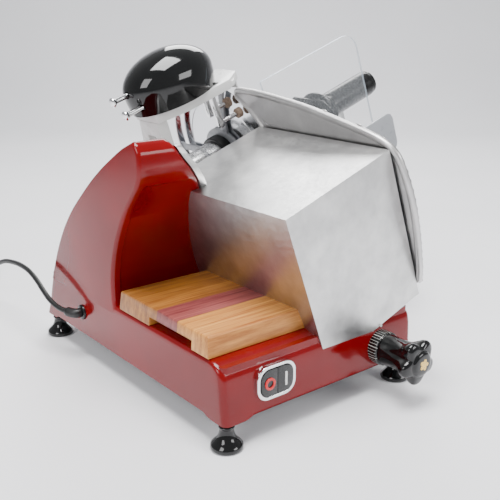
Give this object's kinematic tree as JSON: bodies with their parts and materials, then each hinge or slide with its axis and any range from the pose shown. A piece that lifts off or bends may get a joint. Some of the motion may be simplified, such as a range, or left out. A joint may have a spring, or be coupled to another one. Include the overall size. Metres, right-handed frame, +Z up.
{
  "type": "deli meat slicer",
  "caption": "Gravity-feed slicer with tilted round blade on a neck, sliding gauge plate, food carriage, wooden board, knob and sharpener dome.",
  "frame": {"origin": "middle of the bounding box in plan, at the underside of the feet, cord left out", "axes": "+Z up, +Y away from the operator and the knob, +X from the tower towards the food carriage"},
  "size_m": [0.5816, 0.8495, 0.4074],
  "materials": {
    "red_enamel": "glossy deep red enamel",
    "cast_aluminium": "fine cast, clear coated",
    "polished_aluminium": "polished",
    "satin_aluminium": "satin anodised",
    "mirror_steel": "mirror ground steel",
    "chrome": "bright chrome",
    "dark_steel": "plain steel",
    "grey_enamel": "grey enamel",
    "white_enamel": "white enamel",
    "black_plastic": "glossy black",
    "black_rubber": "soft black",
    "board_oak": "oiled, three staves",
    "clear_acrylic": "clear acrylic sheet",
    "brass": "turned",
    "grinding_stone": "gritty grinding stone"
  },
  "bodies": {
    "machine": {"housing": "red_enamel", "bottom_cover": "dark_steel", "cutting_board": "board_oak", "switch_bezel": "chrome", "dial_ring": "black_plastic", "gauge_rod": "chrome", "frame_cap": "cast_aluminium", "drive_nose": "cast_aluminium", "neck_seal_left": "black_rubber", "neck_tube": "satin_aluminium", "neck_collar": "satin_aluminium", "neck_seal_right": "black_rubber", "shaft_bearing": "dark_steel", "ring_guard": "grey_enamel", "lower_guard": "polished_aluminium", "guard_horn": "polished_aluminium", "slice_deflector": "mirror_steel", "drive_belt": "black_rubber", "motor_body": "dark_steel", "motor_bracket": "cast_aluminium", "sharpener_arm": "white_enamel", "sharpener_body": "white_enamel", "sharpener_cover": "black_plastic", "carriage_rod": "chrome", "cable_gland": "black_plastic", "strain_relief": "black_rubber", "power_cord": "black_rubber", "cord_coil": "black_rubber", "plug": "black_plastic", "foot_front_left": "black_plastic", "foot_rear_left": "black_plastic", "foot_front_right": "black_plastic", "foot_rear_right": "black_plastic"},
    "blade": {"blade": "mirror_steel", "blade_shaft": "dark_steel", "blade_cover": "polished_aluminium", "blade_pulley": "cast_aluminium"},
    "motor_rotor": {"motor_pulley": "cast_aluminium"},
    "gauge": {"gauge_plate": "satin_aluminium", "gauge_foot": "cast_aluminium", "gauge_stud": "chrome", "gauge_carrier": "cast_aluminium"},
    "knob": {"thickness_knob": "black_plastic", "knob_spindle": "dark_steel", "gauge_cam": "brass"},
    "off_button": {"off_button": "black_plastic"},
    "on_button": {"on_button": "black_plastic"},
    "sharpening_button": {"sharpening_button": "chrome", "sharpening_stone": "grinding_stone"},
    "deburring_button": {"deburring_button": "chrome", "deburring_stone": "grinding_stone"},
    "carriage": {"carriage_block": "cast_aluminium", "carriage_arm": "cast_aluminium", "food_table": "satin_aluminium", "fence": "grey_enamel", "hand_guard": "clear_acrylic", "pusher_post": "cast_aluminium", "pusher_rod": "chrome"},
    "pusher": {"pusher": "black_plastic", "pusher_handle": "black_plastic"}
  },
  "joints": [
    {"name": "blade_spin", "type": "hinge", "parent": "machine", "child": "blade", "pos_m": [0.01172, 0.14002, 0.2354], "axis": [0.9397, 0, 0.342], "continuous": true},
    {"name": "motor_spin", "type": "hinge", "parent": "machine", "child": "motor_rotor", "pos_m": [-0.10238, 0.10502, 0.11033], "axis": [0.9397, 0, 0.342], "continuous": true},
    {"name": "gauge_slide", "type": "slide", "parent": "machine", "child": "gauge", "axis": [-1, 0, 0], "range_m": [0, 0.013]},
    {"name": "knob_turn", "type": "hinge", "parent": "machine", "child": "knob", "pos_m": [-0.00678, -0.19498, 0.054], "axis": [0, 1, 0], "range_deg": [0, 300]},
    {"name": "off_press", "type": "slide", "parent": "machine", "child": "off_button", "axis": [0, 1, 0], "range_m": [0, 0.002], "stiffness_N_per_m": 500, "springref_m": -0.002},
    {"name": "on_press", "type": "slide", "parent": "machine", "child": "on_button", "axis": [0, 1, 0], "range_m": [0, 0.002], "stiffness_N_per_m": 500, "springref_m": -0.002},
    {"name": "sharpening_press", "type": "slide", "parent": "machine", "child": "sharpening_button", "axis": [0.9397, 0, 0.342], "range_m": [0, 0.004], "stiffness_N_per_m": 400, "springref_m": -0.004},
    {"name": "deburring_press", "type": "slide", "parent": "machine", "child": "deburring_button", "axis": [0.9397, 0, 0.342], "range_m": [0, 0.002], "stiffness_N_per_m": 400, "springref_m": -0.004},
    {"name": "carriage_slide", "type": "slide", "parent": "machine", "child": "carriage", "axis": [0, 1, 0], "range_m": [-0.16, 0.085]},
    {"name": "pusher_slide", "type": "slide", "parent": "carriage", "child": "pusher", "axis": [0.9397, 0, 0.342], "range_m": [-0.105, 0.03]}
  ],
  "couplings": [
    {"joint": "motor_spin", "follows": "blade_spin", "ratio": 2.5714},
    {"joint": "knob_turn", "follows": "gauge_slide", "rad_per_m": 402.63}
  ]
}
